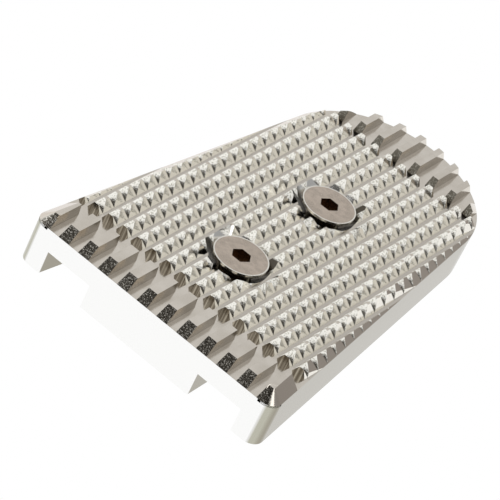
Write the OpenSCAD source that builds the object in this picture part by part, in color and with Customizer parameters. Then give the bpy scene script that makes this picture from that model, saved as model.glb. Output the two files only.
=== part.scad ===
// Brake pedal extension: a milled aluminium tread plate that sits on the worn
// or narrow pad of a brake pedal, pulled down onto it by two countersunk
// socket screws through a clamp plate underneath.
// Width runs along X, length along Y (front edge at -Y), height along Z.

/* [Plate outline] */
// Length of the tread plate, front face to rear arc
plate_len = 84; // [70:0.5:100]
// Width across the front edge, before its corners are cut
front_w = 48.8; // [42:0.2:56]
// Angle by which each long side leans in towards the rear
side_taper = 5.25; // [3:0.25:7]
// Size of the flat cut off each front corner
corner_cut = 2.5; // [1.5:0.1:4]

/* [Heights] */
// Height of the plain side wall, up to the floor of all the cuts in the top
wall_h = 8; // [7:0.1:10]
// Depth of the cuts, which leaves pyramids, teeth and ribs this high
cut_depth = 1.8; // [1:0.1:2.2]
// Width of the bevel that runs round the top, seen from above
bevel_w = 2; // [1.2:0.1:2.6]

/* [Pyramid field] */
// Distance from one pyramid to the next, both ways
pitch = 3; // [2.6:0.1:3.6]
// Number of crosswise notches along the field
notch_count = 21; // [17:1:22]
// Length of the cut-short pyramid left at each end of the field
field_lip = 0.9; // [0.5:0.1:1.3]
// Width of the flat floor between two rows of pyramids
row_gap = 0.5; // [0.3:0.05:0.8]
// Length of the crosswise ridge on top of each pyramid
ridge_len = 0.5; // [0.3:0.05:0.8]
// Width of the flat along that ridge
ridge_flat = 0.12; // [0.05:0.01:0.3]
// Distance from the front face to the first notch
first_notch = 11.4; // [9.5:0.1:13]
// Distance from the plate's middle to the nearest row's middle
row_shift = 0.7; // [0:0.1:1.5]

/* [Combs] */
// Distance from one comb tooth to the next
comb_pitch = 4; // [3.6:0.1:5]
// Width of a front tooth at its top
tooth_w = 1.7; // [1.2:0.1:2.2]
// Width of a rear rib at its top
rib_w = 1.2; // [0.8:0.1:1.8]
// How much each flank of a tooth or rib leans out over its height
flank_lean = 0.2; // [0.05:0.05:0.4]
// Distance from the front face to the rear end of the teeth
tooth_end = 7.5; // [5.5:0.1:8.3]
// Distance from the pyramid field to the foot of the rear ribs
rib_start = 1.4; // [0.8:0.1:3]
// Slope length of the inner end of each rear rib
rib_ramp = 1; // [0.5:0.1:2]

/* [Underside] */
// Width of each leg beside the pocket, at the front face
leg_w = 4.6; // [4:0.1:7]
// Depth of the pocket under the plate
pocket_h = 4.4; // [3:0.1:5]
// Thickness of the solid rim behind the pocket
rear_rim = 8; // [6:0.5:14]
// Width of the clamp plate
clamp_w = 22; // [18:0.5:26]
// Length of the clamp plate
clamp_len = 60; // [52:1:66]
// Radius of the clamp plate's rear corners
clamp_r = 4; // [2:0.5:8]

/* [Screws] */
// Distance from the front face to the first screw
screw_y = 23.6; // [20:0.1:26]
// Distance between the two screws
screw_step = 26; // [22:0.5:30]
// Thread diameter
screw_d = 5; // [4:0.1:6]
// Head diameter
head_d = 9.4; // [8.6:0.1:10.5]
// Height of the cylindrical edge of the head
head_rim = 0.4; // [0.2:0.1:0.6]
// Height of the head's face above the floor of the cuts
head_stand = 1.3; // [0.6:0.1:1.8]
// Height that the screws stand above their seats, as they aren't driven home
head_gap = 1.25; // [0.2:0.05:1.6]
// Width across flats of the hexagon socket
socket_af = 3; // [2.5:0.1:4]
// Depth of the hexagon socket
socket_depth = 2; // [1.5:0.1:2.5]
// Distance from the end of the screws to the clamp plate's underside
tip_gap = 1.3; // [0.4:0.1:2]
// Play round the screws in the tread plate
screw_play = 0.3; // [0.2:0.05:0.5]

/* [Hidden] */
$fn = 64;
eps = 0.01;
front_y = -plate_len / 2;
top_z = wall_h + cut_depth;
// The rear arc is tangent to both leaning sides
arc_r = (front_w / 2 * cos(side_taper) - plate_len * sin(side_taper)) / (1 - sin(side_taper));
arc_y = -front_y - arc_r;
field_y0 = front_y + first_notch - field_lip;
field_y1 = front_y + first_notch + (notch_count - 1) * pitch + field_lip;
row_base = pitch - row_gap;
row_reach = ceil(front_w / 2 / pitch) + 1;
tooth_count = 2 * floor(front_w / 2 / comb_pitch) + 2;
pocket_end = -front_y - rear_rim;
head_z = wall_h + head_stand;
screw_len = head_z - tip_gap;
// The head's cone is 90 degrees, so it is as high as it grows in radius
cone_h = (head_d - screw_d) / 2;

// Half the plate's width at a distance from the front face
function half_w(along) = front_w / 2 - along * tan(side_taper);

module outline() {
    tip = [arc_r * cos(side_taper), arc_y + arc_r * sin(side_taper)];
    polygon([
        [-half_w(0) + corner_cut, front_y],
        [half_w(0) - corner_cut, front_y],
        [half_w(corner_cut), front_y + corner_cut],
        tip,
        [-tip[0], tip[1]],
        [-half_w(corner_cut), front_y + corner_cut]
    ]);
    translate([0, arc_y]) circle(arc_r, $fn = 144);
}

// The plate before its top is cut: a plain wall, then a bevel all the way
// round, from the floor of the cuts up to the tops that they leave
module blank() {
    hull() {
        linear_extrude(wall_h) outline();
        translate([0, 0, top_z - eps]) linear_extrude(eps)
            offset(delta = -bevel_w) outline();
    }
}

// Lengthwise rows with sloping flanks: a trapezoid for each row
module rows() {
    for (k = [-row_reach : row_reach])
        translate([row_shift + k * pitch, field_y1, wall_h]) rotate([90, 0, 0])
            linear_extrude(field_y1 - field_y0)
                polygon([
                    [-row_base / 2, -eps], [row_base / 2, -eps],
                    [ridge_len / 2, cut_depth], [-ridge_len / 2, cut_depth]
                ]);
}

// Crosswise saw profile: sharp notches between narrow ridges
module saw() {
    half_flat = ridge_flat / 2;
    rise = pitch / 2 - half_flat;
    points = [for (k = [0 : notch_count - 1])
        let (y = front_y + first_notch + k * pitch)
        each [[y - rise, cut_depth], [y, 0], [y + rise, cut_depth]]];
    rotate([90, 0, 90]) linear_extrude(front_w + 2, center = true)
        translate([0, wall_h]) polygon(concat(
            [[points[0][0], -cut_depth]],
            points,
            [[points[len(points) - 1][0], -cut_depth]]));
}

module pyramids() {
    intersection() {
        rows();
        saw();
    }
}

// One tooth or rib: a bar with slightly leaning flanks and a sloping inner end
module bar(top_w, y0, y1, ramp) {
    low_w = top_w + 2 * flank_lean;
    difference() {
        translate([0, y1, wall_h]) rotate([90, 0, 0]) linear_extrude(y1 - y0)
            polygon([
                [-low_w / 2, -eps], [low_w / 2, -eps],
                [top_w / 2, cut_depth], [-top_w / 2, cut_depth]
            ]);
        if (ramp > 0)
            translate([-low_w, 0, 0]) rotate([90, 0, 90]) linear_extrude(2 * low_w)
                polygon([
                    [y0 - 1, wall_h], [y0, wall_h],
                    [y0 + ramp, top_z], [y0 + ramp, top_z + 1], [y0 - 1, top_z + 1]
                ]);
    }
}

module combs() {
    for (k = [0 : tooth_count - 1]) {
        x = (k - (tooth_count - 1) / 2) * comb_pitch;
        translate([x, 0, 0]) {
            bar(tooth_w, front_y - 1, front_y + tooth_end, 0);
            bar(rib_w, field_y1 + rib_start, -front_y + 1, rib_ramp);
        }
    }
}

module pocket() {
    w0 = half_w(0) - leg_w;
    w1 = half_w(pocket_end - front_y) - leg_w;
    round_r = w1;
    translate([0, 0, -1]) linear_extrude(pocket_h + 1) {
        polygon([
            [-w0, front_y - 1], [w0, front_y - 1],
            [w1, pocket_end - round_r], [-w1, pocket_end - round_r]
        ]);
        translate([0, pocket_end - round_r]) circle(round_r);
    }
}

// Axis positions of the two screws
screw_ys = [front_y + screw_y, front_y + screw_y + screw_step];

// A clearance hole and a 90 degree countersink that opens through the top
module screw_seat() {
    hole_r = screw_d / 2 + screw_play;
    head_edge = head_z - head_rim - head_gap;
    cone_z = head_edge - (head_d / 2 - hole_r);
    cut_up = top_z + 1 - cone_z;
    translate([0, 0, -1]) cylinder(h = top_z + 2, r = hole_r);
    translate([0, 0, cone_z]) cylinder(h = cut_up, r1 = hole_r, r2 = hole_r + cut_up);
}

module tread_plate() {
    color([0.80, 0.79, 0.77]) difference() {
        intersection() {
            blank();
            union() {
                translate([-front_w, front_y - 1, 0])
                    cube([2 * front_w, plate_len + 2, wall_h]);
                pyramids();
                combs();
            }
        }
        pocket();
        for (y = screw_ys) translate([0, y, 0]) screw_seat();
    }
}

module clamp_plate() {
    color([0.78, 0.77, 0.75]) difference() {
        linear_extrude(pocket_h) {
            translate([-clamp_w / 2, front_y])
                square([clamp_w, clamp_len - clamp_r]);
            translate([-clamp_w / 2 + clamp_r, front_y])
                square([clamp_w - 2 * clamp_r, clamp_len]);
            for (side = [-1, 1])
                translate([side * (clamp_w / 2 - clamp_r), front_y + clamp_len - clamp_r])
                    circle(clamp_r);
        }
        for (y = screw_ys) translate([0, y, -1])
            cylinder(h = pocket_h + 2, r = screw_d / 2);
    }
}

module screw() {
    color([0.70, 0.66, 0.60]) difference() {
        union() {
            translate([0, 0, -screw_len]) cylinder(h = screw_len - head_rim, r = screw_d / 2);
            translate([0, 0, -head_rim - cone_h])
                cylinder(h = cone_h, r1 = screw_d / 2, r2 = head_d / 2);
            translate([0, 0, -head_rim]) cylinder(h = head_rim, r = head_d / 2);
        }
        translate([0, 0, -socket_depth])
            cylinder(h = socket_depth + 1, r = socket_af / 2 / cos(30), $fn = 6);
    }
}

module front_screw() {
    translate([0, screw_ys[0], head_z]) screw();
}

module rear_screw() {
    translate([0, screw_ys[1], head_z]) screw();
}

tread_plate();
clamp_plate();
front_screw();
rear_screw();
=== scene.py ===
"""Studio scene of a brake pedal extension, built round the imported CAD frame."""
import math

import bmesh
import bpy
from mathutils import Matrix, Vector


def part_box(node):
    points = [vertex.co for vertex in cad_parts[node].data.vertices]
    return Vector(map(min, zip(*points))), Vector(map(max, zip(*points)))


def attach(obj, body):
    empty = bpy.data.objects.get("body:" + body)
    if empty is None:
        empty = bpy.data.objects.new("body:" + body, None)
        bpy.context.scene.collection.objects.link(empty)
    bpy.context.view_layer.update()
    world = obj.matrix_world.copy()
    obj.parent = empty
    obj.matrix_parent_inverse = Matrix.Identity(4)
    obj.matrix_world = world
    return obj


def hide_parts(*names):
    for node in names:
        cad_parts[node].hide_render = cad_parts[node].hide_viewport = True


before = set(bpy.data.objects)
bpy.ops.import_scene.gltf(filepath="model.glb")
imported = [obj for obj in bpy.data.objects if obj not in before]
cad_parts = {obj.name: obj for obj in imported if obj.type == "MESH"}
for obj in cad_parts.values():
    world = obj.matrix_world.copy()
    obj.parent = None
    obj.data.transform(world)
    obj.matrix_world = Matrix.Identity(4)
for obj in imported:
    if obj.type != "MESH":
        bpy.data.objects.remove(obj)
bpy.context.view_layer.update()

# Camera: where it looks, how far off it stands and how it is turned
CAMERA_TARGET = Vector((-0.00074, -0.01410, 0.00800))
CAMERA_DISTANCE = 0.44755
CAMERA_AZIMUTH = math.radians(20.584)
CAMERA_ELEVATION = math.radians(34.460)
CAMERA_ROLL = math.radians(26.399)
CAMERA_LENS = 204.386

# Light: each softbox has its direction, size and power
LIGHT_DISTANCE = 0.9
SOFTBOXES = {
    "front_left_softbox": dict(azimuth=-25, elevation=25, width=0.8, height=0.55, power=0.25),
    "right_softbox": dict(azimuth=78, elevation=52, width=0.35, height=0.3, power=0.5),
}
# The studio's walls are bright up to a height, and its ceiling is dark
WALL_TOP = 0.70
CEILING_START = 0.77
CEILING = (0.05, 0.045, 0.04, 1)
# The walls are this bright on average, and brighter towards the front left
WALL_LEVEL = 0.72
WALL_FALL = (-0.45, -0.12, 0)
FLOOR_SIZE = 3.0

# The tread's sizes, as the solid model has them
FRONT_WIDTH = 0.0488
SIDE_TAPER = math.radians(5.25)
CORNER_CUT = 0.0025
FLOOR_HEIGHT = 0.008
CUT_DEPTH = 0.0018
BEVEL = 0.002
PITCH = 0.003
NOTCH_COUNT = 21
FIRST_NOTCH = 0.0114
FIELD_LIP = 0.0009
PLAIN_RIDGE = 0.00012
ROW_SHIFT = 0.0007
ROW_LEAN = 1.0 / 1.8
TOOTH_END = 0.0075
SCREW_PLACES = (-0.0184, 0.0076)
SEAT_REACH = 0.0069
# What the visible tread adds: flat tops, and whole metal outside the last tooth
FLAT_TOP = 0.0008
FRONT_TOOTH = 0.0213
SHOULDER_ROOT = 0.0004
REAR_RADIUS = 0.018285
REAR_BEVEL = 0.0011
REAR_SLACK = 0.00006
LONG_RIBS = 0.0125
PROUD = 0.00001
CORNER_STEPS = 12
WELD = 0.000002
SHARP_ANGLE = math.radians(12)

# The screw heads' face, and the hexagon sockets in it
HEAD_HEIGHT = 0.0093
HEAD_RADIUS = 0.0047
HEAD_EDGE = 0.00022
SOCKET_MIDDLE = 0.0083
SOCKET_REACH = 0.0021

# The pyramid field's middle and half length along the plate
FIELD_MIDDLE = -0.0006
FIELD_HALF = 0.0311

# Colours of the screws and of the milled metal, among them painted highlights, painted shade and
# painted reflections
SCREW_METAL = (0.59, 0.505, 0.425, 1)
SCREW_STAIN = (0.51, 0.44, 0.37, 1)
# Painted highlight: near white on the screw heads' rims and below their faces
HEAD_RIM_HIGHLIGHT = (0.90, 0.87, 0.80, 1)
# Painted shade: dark brown inside the hexagon sockets
SOCKET_SHADE = (0.27, 0.19, 0.13, 1)
FRONT_PLACE = -0.042
FRONT_FADE = 0.0003
METAL = (0.74, 0.69, 0.62, 1)
METAL_DARK = (0.66, 0.61, 0.54, 1)
# Painted shade: the groove floors between the pyramid rows are darker
GROOVE_SHADE = (0.60, 0.56, 0.50, 1)
# Painted shade: front-facing upright faces are near black, with lighter streaks across them
LIP_SHADE = (0.16, 0.14, 0.11, 1)
LIP_STREAK = (0.62, 0.59, 0.52, 1)
# Painted shadow and painted highlight in the cones the screw heads sit in
SEAT_SHADOW = (0.08, 0.07, 0.055, 1)
SEAT_HIGHLIGHT = (0.95, 0.94, 0.91, 1)
# Painted light by facing: steep side-facing flanks are painted brighter, the flatter side bevels darker
SIDE_HIGHLIGHT = (0.88, 0.85, 0.78, 1)
BEVEL_SHADE = (0.62, 0.54, 0.46, 1)
# Painted shade: upright faces below the deck are dark, the side walls darkest and faces turned more to
# the front less so
WALL_SHADE = (0.32, 0.295, 0.235, 1)
CORNER_SHADE = (0.50, 0.49, 0.41, 1)
# Painted reflection: the plate's front face is near white
FRONT_REFLECTION = (0.97, 0.97, 0.96, 1)
FLANK_METAL = (0.80, 0.785, 0.73, 1)
FLANK_SPECK = (0.56, 0.54, 0.475, 1)
# The cut bevels of the teeth and ribs have real bright specks; their dark ground is painted shade,
# darkest on the rear ribs' ramps
TOOTH_BEVEL_SHADE = (0.17, 0.155, 0.13, 1)
COARSE_SPECK = (0.80, 0.77, 0.70, 1)
RAMP_SHADE = (0.11, 0.10, 0.08, 1)
RAMP_SPECK = (0.26, 0.245, 0.21, 1)
GRIT_SCALE = 4200.0
MARK_SCALE = 2600.0
GRIT_HEIGHT = 0.00003
SMEAR_SCALE = 260.0


def direction(azimuth, elevation):
    """Unit vector from the object towards a place at this azimuth and elevation."""
    flat = math.cos(elevation)
    return Vector((math.sin(azimuth) * flat, -math.cos(azimuth) * flat, math.sin(elevation)))


def add_camera():
    back = direction(CAMERA_AZIMUTH, CAMERA_ELEVATION)
    level = Vector((0, 0, 1)).cross(back).normalized()
    rise = back.cross(level)
    right = level * math.cos(CAMERA_ROLL) + rise * math.sin(CAMERA_ROLL)
    up = back.cross(right)
    data = bpy.data.cameras.new("camera")
    data.lens = CAMERA_LENS
    data.clip_start = 0.01
    camera = bpy.data.objects.new("camera", data)
    turn = Matrix((right, up, back)).transposed().to_4x4()
    camera.matrix_world = Matrix.Translation(CAMERA_TARGET + back * CAMERA_DISTANCE) @ turn
    bpy.context.collection.objects.link(camera)
    bpy.context.scene.camera = camera


def add_softbox(name, azimuth, elevation, width, height, power):
    towards = direction(math.radians(azimuth), math.radians(elevation))
    data = bpy.data.lights.new(name, "AREA")
    data.shape = "RECTANGLE"
    data.size = width
    data.size_y = height
    data.energy = power
    lamp = bpy.data.objects.new(name, data)
    lamp.location = towards * LIGHT_DISTANCE
    lamp.rotation_euler = towards.to_track_quat("Z", "Y").to_euler()
    bpy.context.collection.objects.link(lamp)


def node(tree, kind, **inputs):
    """Adds a shader node and sets or links its named inputs."""
    made = tree.nodes.new(kind)
    for name, value in inputs.items():
        socket = made.inputs[name.replace("_", " ")]
        if isinstance(value, bpy.types.NodeSocket):
            tree.links.new(value, socket)
        else:
            socket.default_value = value
    return made


def backdrop_rays(tree):
    """1 for the rays that see the pale background: camera, mirrored and through glass."""
    path = tree.nodes.new("ShaderNodeLightPath")
    first = tree.nodes.new("ShaderNodeMath")
    first.operation = "MAXIMUM"
    tree.links.new(path.outputs["Is Camera Ray"], first.inputs[0])
    tree.links.new(path.outputs["Is Glossy Ray"], first.inputs[1])
    both = tree.nodes.new("ShaderNodeMath")
    both.operation = "MAXIMUM"
    tree.links.new(first.outputs[0], both.inputs[0])
    tree.links.new(path.outputs["Is Transmission Ray"], both.inputs[1])
    return both.outputs[0]


def set_world():
    world = bpy.data.worlds.new("studio")
    bpy.context.scene.world = world
    world.use_nodes = True
    tree = world.node_tree
    tree.nodes.clear()
    place = tree.nodes.new("ShaderNodeTexCoord")
    fall = tree.nodes.new("ShaderNodeVectorMath")
    fall.operation = "DOT_PRODUCT"
    tree.links.new(place.outputs["Generated"], fall.inputs[0])
    fall.inputs[1].default_value = WALL_FALL
    level = tree.nodes.new("ShaderNodeMath")
    level.operation = "ADD"
    level.use_clamp = True
    tree.links.new(fall.outputs["Value"], level.inputs[0])
    level.inputs[1].default_value = WALL_LEVEL
    split = node(tree, "ShaderNodeSeparateXYZ", Vector=place.outputs["Generated"])
    height = node(tree, "ShaderNodeMapRange", Value=split.outputs["Z"])
    height.inputs["From Min"].default_value = WALL_TOP
    height.inputs["From Max"].default_value = CEILING_START
    room = tree.nodes.new("ShaderNodeMix")
    room.data_type = "RGBA"
    tree.links.new(height.outputs["Result"], room.inputs[0])
    tree.links.new(level.outputs[0], room.inputs[6])
    room.inputs[7].default_value = CEILING
    studio = node(tree, "ShaderNodeBackground", Color=room.outputs[2], Strength=1.0)
    white = node(tree, "ShaderNodeBackground", Color=(1, 1, 1, 1), Strength=1.0)
    path = tree.nodes.new("ShaderNodeLightPath")
    mix = tree.nodes.new("ShaderNodeMixShader")
    tree.links.new(path.outputs["Is Camera Ray"], mix.inputs[0])
    tree.links.new(studio.outputs[0], mix.inputs[1])
    tree.links.new(white.outputs[0], mix.inputs[2])
    out = tree.nodes.new("ShaderNodeOutputWorld")
    tree.links.new(mix.outputs[0], out.inputs["Surface"])


def add_floor():
    half = FLOOR_SIZE / 2
    mesh = bpy.data.meshes.new("floor")
    corners = [(-half, -half, 0), (half, -half, 0), (half, half, 0), (-half, half, 0)]
    mesh.from_pydata(corners, [], [(0, 1, 2, 3)])
    floor = bpy.data.objects.new("floor", mesh)
    bpy.context.collection.objects.link(floor)
    material = bpy.data.materials.new("white_floor")
    material.use_nodes = True
    tree = material.node_tree
    tree.nodes.clear()
    paper = node(tree, "ShaderNodeBsdfDiffuse", Color=(0.85, 0.84, 0.82, 1))
    glow = node(tree, "ShaderNodeEmission", Color=(1, 1, 1, 1), Strength=1.0)
    mix = tree.nodes.new("ShaderNodeMixShader")
    tree.links.new(backdrop_rays(tree), mix.inputs[0])
    tree.links.new(paper.outputs[0], mix.inputs[1])
    tree.links.new(glow.outputs[0], mix.inputs[2])
    out = tree.nodes.new("ShaderNodeOutputMaterial")
    tree.links.new(mix.outputs[0], out.inputs["Surface"])
    mesh.materials.append(material)


def ranged(tree, value, low, high, start=0.0, end=1.0):
    """Maps low to high of a value onto start to end, and stops there."""
    made = node(tree, "ShaderNodeMapRange", Value=value)
    made.inputs["From Min"].default_value = low
    made.inputs["From Max"].default_value = high
    made.inputs["To Min"].default_value = start
    made.inputs["To Max"].default_value = end
    return made.outputs["Result"]


def maths(tree, operation, first, second=None):
    made = tree.nodes.new("ShaderNodeMath")
    made.operation = operation
    for place, value in enumerate((first, second)):
        if isinstance(value, bpy.types.NodeSocket):
            tree.links.new(value, made.inputs[place])
        elif value is not None:
            made.inputs[place].default_value = value
    return made.outputs[0]


def mixed(tree, amount, first, second):
    """Mixes two colours, each a socket or a plain value."""
    made = tree.nodes.new("ShaderNodeMix")
    made.data_type = "RGBA"
    tree.links.new(amount, made.inputs[0])
    for place, value in ((6, first), (7, second)):
        if isinstance(value, bpy.types.NodeSocket):
            tree.links.new(value, made.inputs[place])
        else:
            made.inputs[place].default_value = value
    return made.outputs[2]


def near_screws(tree, place, height, reach):
    """1 within a reach of the screws' axes at this height."""
    near = None
    for along in SCREW_PLACES:
        gap = tree.nodes.new("ShaderNodeVectorMath")
        gap.operation = "DISTANCE"
        tree.links.new(place, gap.inputs[0])
        gap.inputs[1].default_value = (0, along, height)
        inside = maths(tree, "LESS_THAN", gap.outputs["Value"], reach)
        near = inside if near is None else maths(tree, "ADD", near, inside)
    return near


def seat_mask(tree, place, rise):
    """1 on the cones that the screw heads sit in."""
    cone = maths(tree, "COMPARE", rise, math.cos(math.radians(45)))
    cone.node.inputs[2].default_value = 0.06
    return maths(tree, "MULTIPLY", near_screws(tree, place, FLOOR_HEIGHT, SEAT_REACH), cone)


def plate_metal():
    """Milled aluminium with speckled, rougher cut flanks, and painted shade, painted highlights and
    painted reflections on its faces.
    """
    material = bpy.data.materials.new("milled_aluminium")
    material.use_nodes = True
    tree = material.node_tree
    shader = tree.nodes["Principled BSDF"]
    shader.inputs["Metallic"].default_value = 1.0
    place = tree.nodes.new("ShaderNodeTexCoord").outputs["Object"]
    where = node(tree, "ShaderNodeSeparateXYZ", Vector=place)
    facing = tree.nodes.new("ShaderNodeNewGeometry").outputs["Normal"]
    turned = node(tree, "ShaderNodeSeparateXYZ", Vector=facing)
    upright = ranged(tree, maths(tree, "ABSOLUTE", turned.outputs["Z"]), 0.2, 0.1)
    # Painted reflection: the upright faces at the very front of the plate are painted near white
    front = ranged(tree, where.outputs["Y"], FRONT_PLACE + FRONT_FADE, FRONT_PLACE + 10 * PROUD)
    front = maths(tree, "MULTIPLY", front, upright)
    below = ranged(tree, where.outputs["Z"], FLOOR_HEIGHT + 10 * PROUD, FLOOR_HEIGHT)
    wall = maths(tree, "MULTIPLY", upright, below)
    # Painted shade on front-facing upright faces, broken by lighter streaks
    lip_shade_mask = maths(tree, "MULTIPLY", upright, ranged(tree, turned.outputs["Y"], -0.9, -0.95))
    level = ranged(tree, turned.outputs["Z"], 0.95, 0.98)
    edge_zone = maths(tree, "ABSOLUTE", maths(tree, "SUBTRACT", where.outputs["Y"], FIELD_MIDDLE))
    sunk = maths(tree, "LESS_THAN", where.outputs["Z"], FLOOR_HEIGHT + WELD)
    in_field = maths(tree, "LESS_THAN", edge_zone, FIELD_HALF - FIELD_LIP)
    # Painted shade: flat floors sunk below the deck inside the field are darker
    groove_shade_mask = maths(tree, "MULTIPLY", maths(tree, "MULTIPLY", level, sunk), in_field)
    side = ranged(tree, maths(tree, "ABSOLUTE", turned.outputs["X"]), 0.5, 0.7)
    side = maths(tree, "MULTIPLY", side, ranged(tree, turned.outputs["Z"], 0.3, 0.4))
    sloped = ranged(tree, turned.outputs["Y"], -0.5, -0.6)
    flank = maths(tree, "MULTIPLY", sloped, ranged(tree, turned.outputs["Z"], 0.2, 0.3))
    # Painted shade on the sloped ends outside the field, with their real specks kept
    end_flank_shade_mask = maths(tree, "MULTIPLY", flank, maths(tree, "GREATER_THAN", edge_zone, FIELD_HALF))

    grit = node(tree, "ShaderNodeTexNoise", Vector=place, Scale=GRIT_SCALE, Detail=1.0)
    specks = ranged(tree, grit.outputs["Fac"], 0.54, 0.62)
    flat = node(tree, "ShaderNodeCombineXYZ", X=where.outputs["X"])
    marks = node(tree, "ShaderNodeTexNoise", Vector=flat.outputs[0], Scale=MARK_SCALE, Detail=1.0)
    streaks = ranged(tree, marks.outputs["Fac"], 0.45, 0.75)
    smear = node(tree, "ShaderNodeTexNoise", Vector=place, Scale=SMEAR_SCALE, Detail=2.0)
    tone = mixed(tree, ranged(tree, smear.outputs["Fac"], 0.35, 0.65), METAL, METAL_DARK)
    # Painted shade on the upright faces below the deck: darkest where they face sideways
    across = maths(tree, "ABSOLUTE", turned.outputs["X"])
    wall_shade = mixed(tree, ranged(tree, across, 0.75, 0.97), CORNER_SHADE, WALL_SHADE)
    tone = mixed(tree, wall, tone, wall_shade)
    tone = mixed(tree, groove_shade_mask, tone, GROOVE_SHADE)
    tone = mixed(tree, lip_shade_mask, tone, mixed(tree, streaks, LIP_SHADE, LIP_STREAK))
    # Painted highlight on the steep side-facing faces, painted shade on the flatter side bevels
    bevel = ranged(tree, turned.outputs["Z"], 0.55, 0.65)
    tone = mixed(tree, side, tone, mixed(tree, bevel, SIDE_HIGHLIGHT, BEVEL_SHADE))
    tone = mixed(tree, front, tone, FRONT_REFLECTION)
    tone = mixed(tree, flank, tone, mixed(tree, specks, FLANK_METAL, FLANK_SPECK))
    tone = mixed(tree, end_flank_shade_mask, tone, mixed(tree, specks, TOOTH_BEVEL_SHADE, COARSE_SPECK))
    # Painted shade: the rear ribs' ramps are darker still
    ramp_shade_mask = maths(tree, "MULTIPLY", end_flank_shade_mask, maths(tree, "GREATER_THAN", where.outputs["Y"], 0.0))
    tone = mixed(tree, ramp_shade_mask, tone, mixed(tree, specks, RAMP_SHADE, RAMP_SPECK))
    # Painted shadow and painted highlight: the seat cones turn near white where they face right and
    # front, near black elsewhere
    inward = maths(tree, "SUBTRACT", turned.outputs["X"], turned.outputs["Y"])
    seat_shadow_and_highlight = mixed(tree, ranged(tree, inward, 0.50, 0.65), SEAT_SHADOW, SEAT_HIGHLIGHT)
    tone = mixed(tree, seat_mask(tree, place, turned.outputs["Z"]), tone, seat_shadow_and_highlight)
    tree.links.new(tone, shader.inputs["Base Color"])

    bump = node(tree, "ShaderNodeBump", Height=grit.outputs["Fac"], Distance=GRIT_HEIGHT, Normal=facing)
    tree.links.new(flank, bump.inputs["Strength"])
    tree.links.new(bump.outputs["Normal"], shader.inputs["Normal"])
    tree.links.new(ranged(tree, flank, 0.0, 1.0, 0.16, 0.24), shader.inputs["Roughness"])
    return material


def screw_metal():
    material = bpy.data.materials.new("nickel_plated_steel")
    material.use_nodes = True
    tree = material.node_tree
    shader = tree.nodes["Principled BSDF"]
    shader.inputs["Metallic"].default_value = 1.0
    place = tree.nodes.new("ShaderNodeTexCoord").outputs["Object"]
    where = node(tree, "ShaderNodeSeparateXYZ", Vector=place)
    stain = node(tree, "ShaderNodeTexNoise", Vector=place, Scale=900.0, Detail=3.0)
    blotch = ranged(tree, stain.outputs["Fac"], 0.35, 0.65)
    tone = mixed(tree, blotch, SCREW_METAL, SCREW_STAIN)
    # Painted highlight: everything outside the head's face, its rim first, takes a near-white tone
    inside = near_screws(tree, place, HEAD_HEIGHT, HEAD_RADIUS - HEAD_EDGE)
    tone = mixed(tree, inside, HEAD_RIM_HIGHLIGHT, tone)
    # Painted shade: the hexagon sockets below the head's face are dark brown
    under = maths(tree, "LESS_THAN", where.outputs["Z"], HEAD_HEIGHT - PROUD)
    socket = maths(tree, "MULTIPLY", near_screws(tree, place, SOCKET_MIDDLE, SOCKET_REACH), under)
    tone = mixed(tree, socket, tone, SOCKET_SHADE)
    tree.links.new(tone, shader.inputs["Base Color"])
    rough = node(tree, "ShaderNodeMapRange", Value=stain.outputs["Fac"])
    rough.inputs["To Min"].default_value = 0.18
    rough.inputs["To Max"].default_value = 0.32
    tree.links.new(rough.outputs["Result"], shader.inputs["Roughness"])
    return material


def crossing(a, b, c, d):
    """Where the line through a and b meets the line through c and d, seen from above."""
    along, other = b - a, d - c
    share = (c - a).cross(other) / along.cross(other)
    return a + along * share


def corner_arc(front, inset):
    """The rounded front corner at the right, tangent to the front and side walls."""
    turn = math.radians(90) + SIDE_TAPER
    radius = CORNER_CUT / math.tan(turn / 2)
    centre = Vector((FRONT_WIDTH / 2 - CORNER_CUT, front + radius))
    widest = FRONT_WIDTH / 2 - CORNER_CUT * math.tan(SIDE_TAPER)
    points = []
    for k in range(CORNER_STEPS + 1):
        angle = turn * k / CORNER_STEPS - math.radians(90)
        point = centre + Vector((math.cos(angle), math.sin(angle))) * (radius - inset)
        points.append(Vector((min(point.x, widest), point.y)))
    return points


def add_solid(shape, rings):
    """Adds a closed solid through rings of points, each with its height."""
    made = [[shape.verts.new((p.x, p.y, height)) for p in ring] for ring, height in rings]
    faces = [shape.faces.new(made[0]), shape.faces.new(made[-1])]
    for ring, above in zip(made, made[1:]):
        for k in range(len(ring)):
            n = (k + 1) % len(ring)
            faces.append(shape.faces.new((ring[k], ring[n], above[n], above[k])))
    bmesh.ops.recalc_face_normals(shape, faces=faces)


def shoulder_rings(front, side):
    """Floor and top outlines of the solid metal outside the last front tooth."""
    def edge(along):
        return Vector((FRONT_WIDTH / 2 - along * math.tan(SIDE_TAPER), front + along))

    inner = FRONT_TOOTH
    inset = BEVEL - 2 * PROUD
    low_arc = corner_arc(front, 0)
    high_arc = corner_arc(front, inset)
    back = (Vector((inner, front + TOOTH_END)), edge(TOOTH_END))
    along = back[1] - low_arc[-1]
    low = [Vector((inner, front)), *low_arc, back[1], back[0]]
    high = [Vector((inner, front + inset)), *high_arc,
            crossing(high_arc[-1], high_arc[-1] + along, *back), back[0]]
    return ([Vector((side * p.x, p.y)) for p in low], [Vector((side * p.x, p.y)) for p in high])


def add_shoulder(shape, front, top, side):
    low, high = shoulder_rings(front, side)
    root = FLOOR_HEIGHT - SHOULDER_ROOT
    add_solid(shape, [(low, root), (low, FLOOR_HEIGHT), (high, top - PROUD)])
    wedge = [Vector((side * p.x, p.y)) for p in corner_arc(front, 0)]
    wedge.append(Vector((wedge[0].x, wedge[-1].y)))
    add_solid(shape, [(wedge, PROUD), (wedge, FLOOR_HEIGHT)])


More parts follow.
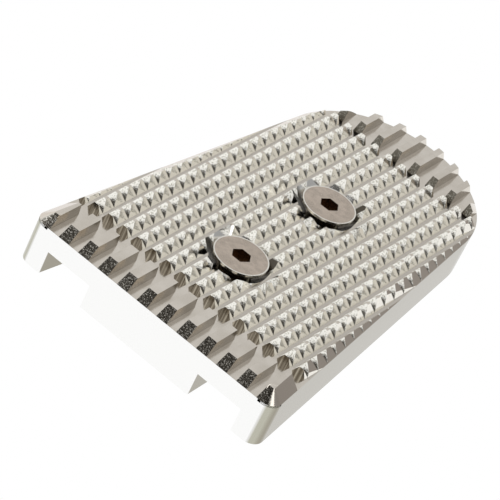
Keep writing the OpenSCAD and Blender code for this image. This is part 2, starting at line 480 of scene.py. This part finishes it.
def flat_topped(along, rise):
    """Distance from the nearest notch once its sides are as steep as the real cutter's."""
    half = PITCH / 2
    plain = rise * (half - PLAIN_RIDGE / 2) / CUT_DEPTH
    steep = rise * (half - FLAT_TOP / 2) / CUT_DEPTH
    moved = half - (half - abs(along)) * (half - steep) / (half - plain)
    return math.copysign(moved, along)


def raise_end(place, rise):
    """Lifts a corner of a pyramid that the field's end cuts short, along its own sides."""
    taller = rise * (PITCH - PLAIN_RIDGE) / (PITCH - FLAT_TOP)
    middle = ROW_SHIFT + PITCH * round((place.x - ROW_SHIFT) / PITCH)
    place.x -= math.copysign((taller - rise) * ROW_LEAN, place.x - middle)
    place.z = FLOOR_HEIGHT + taller


def reach_back(shape, centre):
    """Lets the long rear ribs run nearly out to the round wall, with a narrow bevel."""
    for vert in shape.verts:
        if abs(vert.co.x) > LONG_RIBS or vert.co.y < FIELD_MIDDLE + FIELD_HALF:
            continue
        rise = (vert.co.z - FLOOR_HEIGHT) / CUT_DEPTH
        reach = math.hypot(vert.co.x, vert.co.y - centre)
        on_bevel = abs(reach - REAR_RADIUS + BEVEL * rise) < REAR_SLACK
        if rise > WELD / CUT_DEPTH and on_bevel:
            moved = REAR_RADIUS - REAR_BEVEL * rise
            vert.co.y = centre + math.sqrt(moved ** 2 - vert.co.x ** 2)


def add_tread():
    """The tread plate with the steep notches and flat tops that the milled one has."""
    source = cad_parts["tread_plate"].data
    low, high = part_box("tread_plate")
    front, top = low[1], high[2]
    shape = bmesh.new()
    shape.from_mesh(source)
    bmesh.ops.remove_doubles(shape, verts=shape.verts, dist=WELD)
    last = NOTCH_COUNT - 1
    reach_back(shape, high[1] - REAR_RADIUS)
    for vert in shape.verts:
        rise = vert.co.z - FLOOR_HEIGHT
        place = (vert.co.y - front - FIRST_NOTCH) / PITCH
        nearest = round(place)
        if rise < WELD or not (0 <= nearest <= last):
            continue
        along = (place - nearest) * PITCH
        at_end = abs(place * PITCH + FIELD_LIP) < WELD or abs((place - last) * PITCH - FIELD_LIP) < WELD
        outside = place * PITCH < -FIELD_LIP or (place - last) * PITCH > FIELD_LIP
        near_screw = any(math.hypot(vert.co.x, vert.co.y - y) < SEAT_REACH for y in SCREW_PLACES)
        if at_end:
            raise_end(vert.co, rise)
        elif not (outside or near_screw):
            vert.co.y += flat_topped(along, rise) - along
    for side in (-1, 1):
        add_shoulder(shape, front, top, side)
    mesh = bpy.data.meshes.new("milled_tread")
    shape.to_mesh(mesh)
    shape.free()
    mesh.attributes.remove(mesh.attributes["custom_normal"])
    mesh.shade_smooth()
    mesh.set_sharp_from_angle(angle=SHARP_ANGLE)
    tread = bpy.data.objects.new("milled_tread", mesh)
    bpy.context.collection.objects.link(tread)
    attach(tread, "root")
    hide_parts("tread_plate")
    return tread


def dress(name, material):
    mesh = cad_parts[name].data
    mesh.materials.clear()
    mesh.materials.append(material)


add_camera()
for box_name, setting in SOFTBOXES.items():
    add_softbox(box_name, **setting)
set_world()
add_floor()
bpy.context.scene.view_settings.view_transform = "Standard"

plate = plate_metal()
screws = screw_metal()
add_tread().data.materials.append(plate)
dress("clamp_plate", plate)
dress("front_screw", screws)
dress("rear_screw", screws)
